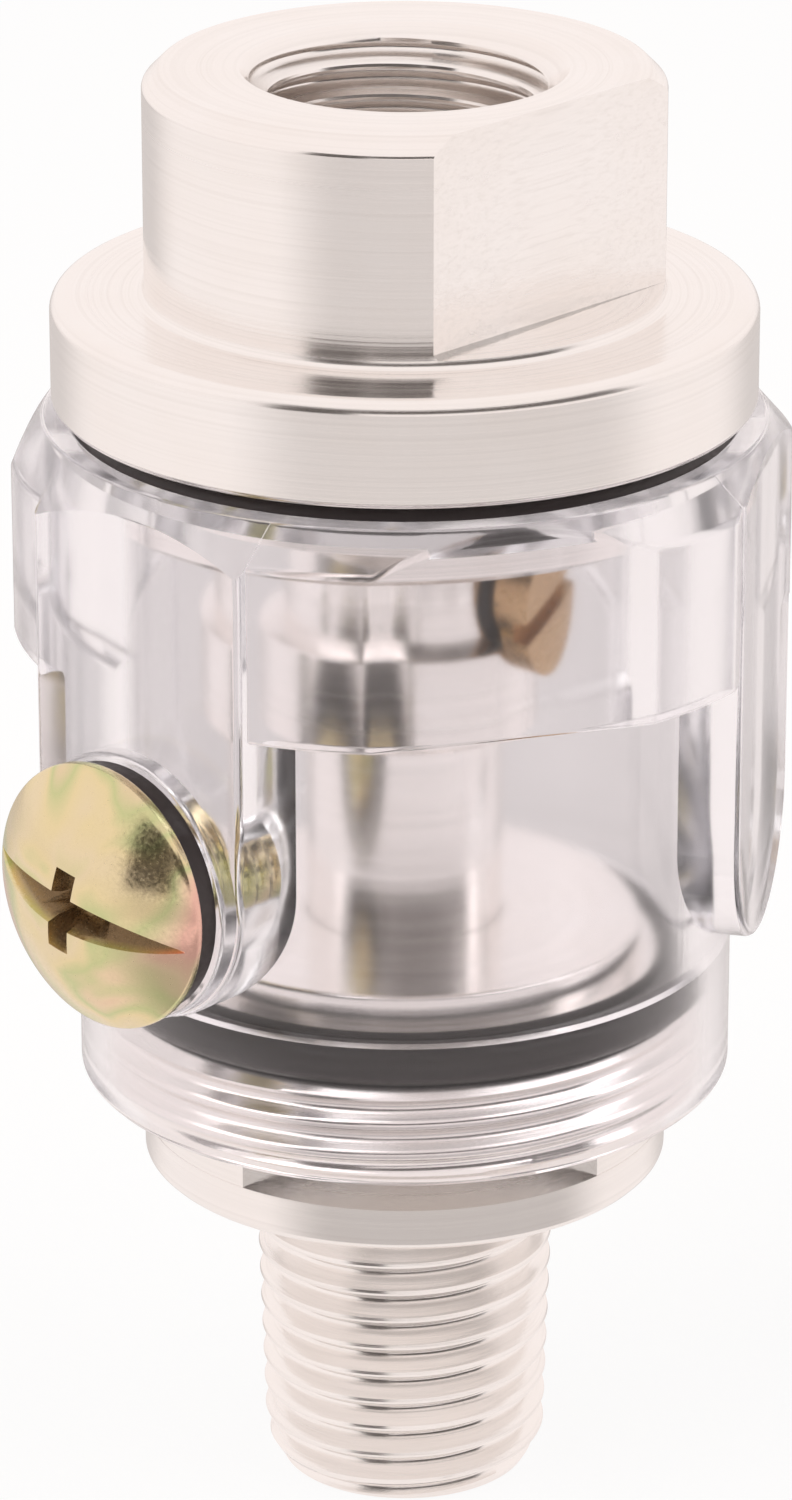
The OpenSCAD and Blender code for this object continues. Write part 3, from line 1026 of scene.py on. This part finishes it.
@dataclass
class Studio:
    """White table, soft lamps, dark sheets of painted reflection that only gloss sees, and the camera at the
    photograph's place.
    """

    floor_z: float = -14.85
    floor_half: float = 3000.0
    camera_away: float = 279.56
    camera_up: float = 128.45
    camera_turn: float = 43.5
    camera_tilt: float = 21.4485
    focal_px: float = 6939.3
    frame_px: float = 1500.0
    axis_px: float = 8.7
    sensor: float = 36.0
    room_white: str = "#FCF4F1"
    room_levels: Point = (0.62, 1.03)
    paper: str = "#F2F1F0"
    paper_light: float = 1.06
    paper_share: float = 0.8
    # Colour of the sheets of painted reflection, which only gloss sees.
    gloss_shade_colour: str = "#453F3B"
    lamps: tuple[tuple[str, float, float, float, float, float], ...] = (
        ("key", -60.0, 48.0, 0.55, 0.5, 0.95), ("fill", 70.0, 40.0, 0.6, 0.5, 0.8)
    )
    aim_z: float = 17.0
    screen_away: float = 420.0
    screen_turns: tuple[float, float, float] = (-43.0, -15.0, 75.0)
    left_low: float = 15.0
    low: float = 110.0
    screen_high: float = 330.0
    screen_share: float = 0.94
    screen_soft: float = 1.0
    # Painted shadow in reflection: sheets on the table by start, end and darkness; the near one stands for the object's
    # shadow.
    near_floor_shade: tuple[float, float, float] = (20.0, 74.0, 0.42)
    far_floor_shade: tuple[float, float, float] = (122.0, 420.0, 0.28)
    back_floor_shade: tuple[float, float, float] = (20.0, 420.0, 0.3)
    back_turns: Point = (115.0, 245.0)
    floor_shade_lift: float = 0.2
    floor_shade_soft: float = 30.0
    bounces: int = 16

    def camera(self) -> None:
        """Sets the camera."""
        data = bpy.data.cameras.new("camera")
        data.sensor_width = self.sensor
        data.lens = self.focal_px / self.frame_px * self.sensor
        data.shift_x = -self.axis_px / self.frame_px
        data.clip_start = 0.01
        camera = bpy.data.objects.new("camera", data)
        turn = math.radians(self.camera_turn)
        camera.location = (
            self.camera_away * MM * math.sin(turn), -self.camera_away * MM * math.cos(turn), self.camera_up * MM
        )
        camera.rotation_euler = (math.radians(90.0 - self.camera_tilt), 0.0, turn)
        bpy.context.scene.collection.objects.link(camera)
        bpy.context.scene.camera = camera

    def lamp(self, name: str, turn: float, rise: float, away: float, size: float, watts: float) -> None:
        """Adds a soft lamp that faces the object.

        Args:
            name: the lamp's name.
            turn: direction from the object, in degrees from the camera's to its right.
            rise: height above the horizon, in degrees.
            away: distance in metres.
            size: side of the lamp in metres.
            watts: its power.
        """
        data = bpy.data.lights.new(name, "AREA")
        data.shape = "SQUARE"
        data.size = size
        data.energy = watts
        lamp = bpy.data.objects.new(name, data)
        lamp.visible_glossy = False
        turn, rise = math.radians(turn + self.camera_turn), math.radians(rise)
        way = Vector((math.sin(turn) * math.cos(rise), -math.cos(turn) * math.cos(rise), math.sin(rise)))
        lamp.location = way * away + Vector((0.0, 0.0, self.aim_z * MM))
        lamp.rotation_euler = way.to_track_quat("Z", "Y").to_euler()
        bpy.context.scene.collection.objects.link(lamp)

    def seen(self, tree: bpy.types.NodeTree) -> tuple[bpy.types.NodeSocket, bpy.types.NodeSocket]:
        """Tells what looks at the white surroundings.

        Args:
            tree: node tree of the table or the room.

        Returns:
            One share that is 1 to the eye, to gloss and through clear plastic, and the colour that they see.
        """
        path = add_node(tree, "LightPath")
        eye, gloss, through = (path.outputs[f"Is {kind} Ray"] for kind in ("Camera", "Glossy", "Transmission"))
        bright = add_node(tree, "Math", {"operation": "MAXIMUM"}, {0: gloss, 1: through})
        bright = add_node(tree, "Math", {"operation": "MAXIMUM"}, {0: bright.outputs[0], 1: eye})
        shades = {"data_type": "RGBA", 6: linear(self.room_white), 7: linear("#FFFFFF")}
        return bright.outputs[0], add_node(tree, "Mix", shades, {0: eye}).outputs[2]

    def floor(self) -> None:
        """Lays the white table, which keeps the object's shadow."""
        bm = bmesh.new()
        bmesh.ops.create_grid(bm, x_segments=1, y_segments=1, size=self.floor_half)
        floor = as_object("table", bm, Matrix.Translation((0.0, 0.0, self.floor_z)))
        material = bpy.data.materials.new("white_paper")
        material.use_nodes = True
        tree = material.node_tree
        tree.nodes.clear()
        share, colour = self.seen(tree)
        paper = add_node(tree, "BsdfDiffuse", {"Color": linear(self.paper)})
        bright = add_node(tree, "Emission", {"Strength": self.paper_light}, {"Color": colour})
        share = add_node(tree, "Math", {"operation": "MULTIPLY", 1: self.paper_share}, {0: share}).outputs[0]
        mix = add_node(tree, "MixShader", None, {0: share, 1: paper.outputs[0], 2: bright.outputs[0]})
        add_node(tree, "OutputMaterial", None, {"Surface": mix.outputs[0]})
        floor.data.materials.append(material)

    def gloss_shade_sheet(self, name: str, turns: Point, points: Sequence[Point], share: float, soft: float) -> None:
        """Bends a dark sheet of painted reflection round the camera's side, which only gloss on metal sees.

        Args:
            name: the sheet's name.
            turns: where it starts and ends, in degrees from the camera's direction to its right.
            points: distance from the axis, and height, of its two edges.
            share: how dark it looks, from 0 to 1.
            soft: angle in degrees over which it fades at both ends.
        """
        bm = bmesh.new()
        post = [bm.verts.new((0.0, -away, height)) for away, height in points]
        span = math.radians(turns[1] - turns[0])
        bmesh.ops.spin(bm, geom=post + [bm.edges.new(post)], axis=(0.0, 0.0, 1.0), angle=span, steps=48)
        turn = Matrix.Rotation(math.radians(self.camera_turn + turns[0]), 4, "Z")
        gloss_shade_sheet = as_object(name, bm, turn)
        material = bpy.data.materials.new(name)
        material.use_nodes = True
        tree = material.node_tree
        tree.nodes.clear()
        path = add_node(tree, "LightPath")
        # Rays that only turned round inside the bowl's wall passed two faces of it, and look through the sheet.
        faces = add_node(tree, "Math", {"operation": "SUBTRACT", 1: 2.0}, {0: path.outputs["Transmission Depth"]})
        away = add_node(tree, "Math", {"operation": "ABSOLUTE"}, {0: faces.outputs[0]})
        shown = add_node(tree, "Math", {"operation": "GREATER_THAN", 1: 1.5}, {0: away.outputs[0]})
        place = add_node(tree, "TexCoord")
        parts = add_node(tree, "SeparateXYZ", None, {0: place.outputs["Object"]})
        front = add_node(tree, "Math", {"operation": "MULTIPLY", 1: -1.0}, {0: parts.outputs["Y"]})
        angle = add_node(tree, "Math", {"operation": "ARCTAN2"}, {0: parts.outputs["X"], 1: front.outputs[0]})
        middle = math.radians(self.camera_turn + sum(turns) / 2)
        off = add_node(tree, "Math", {"operation": "SUBTRACT", 1: middle}, {0: angle.outputs[0]})
        off = add_node(tree, "Math", {"operation": "WRAP", 1: math.pi, 2: -math.pi}, {0: off.outputs[0]})
        off = add_node(tree, "Math", {"operation": "ABSOLUTE"}, {0: off.outputs[0]})
        ends = {"From Min": span / 2 - math.radians(soft), "From Max": span / 2, "To Min": share, "To Max": 0.0}
        fade = add_node(tree, "MapRange", {"interpolation_type": "SMOOTHSTEP", **ends}, {"Value": off.outputs[0]})
        shown = add_node(tree, "Math", {"operation": "MULTIPLY"}, {0: shown.outputs[0], 1: fade.outputs[0]})
        # Painted reflection: a dark colour that only gloss rays see.
        dark = add_node(tree, "BsdfDiffuse", {"Color": linear(self.gloss_shade_colour)})
        clear = add_node(tree, "BsdfTransparent")
        mix = add_node(tree, "MixShader", None, {0: shown.outputs[0], 1: clear.outputs[0], 2: dark.outputs[0]})
        add_node(tree, "OutputMaterial", None, {"Surface": mix.outputs[0]})
        gloss_shade_sheet.data.materials.append(material)
        gloss_shade_sheet.visible_camera = False
        gloss_shade_sheet.visible_diffuse = False
        gloss_shade_sheet.visible_shadow = False

    def world(self) -> None:
        """Sets the white surroundings, bright to the eye, to gloss and through plastic, and softer as light."""
        world = bpy.data.worlds.new("white_room")
        world.use_nodes = True
        tree = world.node_tree
        tree.nodes.clear()
        share, colour = self.seen(tree)
        soft, bright = self.room_levels
        level = add_node(tree, "MapRange", {"To Min": soft, "To Max": bright}, {"Value": share})
        back = add_node(tree, "Background", None, {"Color": colour, "Strength": level.outputs[0]})
        add_node(tree, "OutputWorld", None, {"Surface": back.outputs[0]})
        bpy.context.scene.world = world

    def make(self) -> None:
        """Builds the studio."""
        bpy.context.scene.view_settings.view_transform = "Standard"
        # Light turns round many times inside the clear wall, and the usual limits would leave black patches there.
        paths = bpy.context.scene.cycles
        paths.max_bounces = paths.glossy_bounces = paths.transmission_bounces = self.bounces
        self.camera()
        self.floor()
        # Painted reflection: dark sheets round the camera's side, seen only in gloss, put dark surroundings into the
        # metal.
        left, middle, right = self.screen_turns
        for name, turns, low in (("left_reflected_shade", (left, middle), self.left_low), ("reflected_shade", (middle, right), self.low)):
            edges = tuple((self.screen_away, height) for height in (low, self.screen_high))
            self.gloss_shade_sheet(name, turns, edges, self.screen_share, self.screen_soft)
        # Painted shadow: sheets on the table, seen only in gloss, darken the floor that metal reflects, most near the
        # object where its shadow falls, less further out and behind.
        level = self.floor_z + self.floor_shade_lift
        reach = (left - self.floor_shade_soft / 2, right + self.floor_shade_soft / 2)
        for name, turns, (start, end, share) in (
            ("near_floor_shade", reach, self.near_floor_shade), ("far_floor_shade", reach, self.far_floor_shade),
            ("back_floor_shade", self.back_turns, self.back_floor_shade),
        ):
            self.gloss_shade_sheet(name, turns, ((start, level), (end, level)), share, self.floor_shade_soft)
        self.world()
        for lamp in self.lamps:
            self.lamp(*lamp)


@dataclass
class KeptNodes:
    """CAD nodes that keep their shape and get a finish."""

    finishes: Mapping[str, bpy.types.Material]

    def make(self) -> None:
        """Puts each node's finish on its material slots."""
        for node, material in self.finishes.items():
            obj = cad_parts[node]
            for slot in obj.material_slots:
                slot.material = material
            log.info("%s: CAD shape, %s", node, material.name)


def main() -> None:
    """Builds the studio, the pieces and their finishes."""
    logging.basicConfig(level=logging.INFO, format="%(name)s %(message)s")
    aluminium = TurnedMetal("turned_aluminium", "#FBF9F8", 0.2, ring=0.2, depth=0.016, stain="#F6F1ED").material()
    brass = TurnedMetal(
        "turned_brass", "#D3B48C", 0.25, ring=0.14, rough_low=0.18, rough_high=0.34, stain="#A98661"
    ).material()
    plastic = ClearPlastic("clear_polycarbonate", "#FEFDFF", 0.12).material()
    rubber = MouldedRubber("black_nitrile_rubber", "#362E2E", 0.42).material()
    zinc = YellowZinc("yellow_zinc_steel", "#D6C98A", 0.18).material()
    Studio().make()
    InletCap().make(aluminium)
    OutletPlug().make(aluminium)
    Bowl().make(plastic)
    FillerScrew().make(zinc)
    KeptNodes(
        {
            "air_tube": aluminium,
            "metering_screw": brass,
            "upper_o_ring": rubber,
            "lower_o_ring": rubber,
            "tube_o_ring": rubber,
            "metering_o_ring": rubber,
            "filler_washer": rubber,
        }
    ).make()


if __name__ == "__main__":
    main()
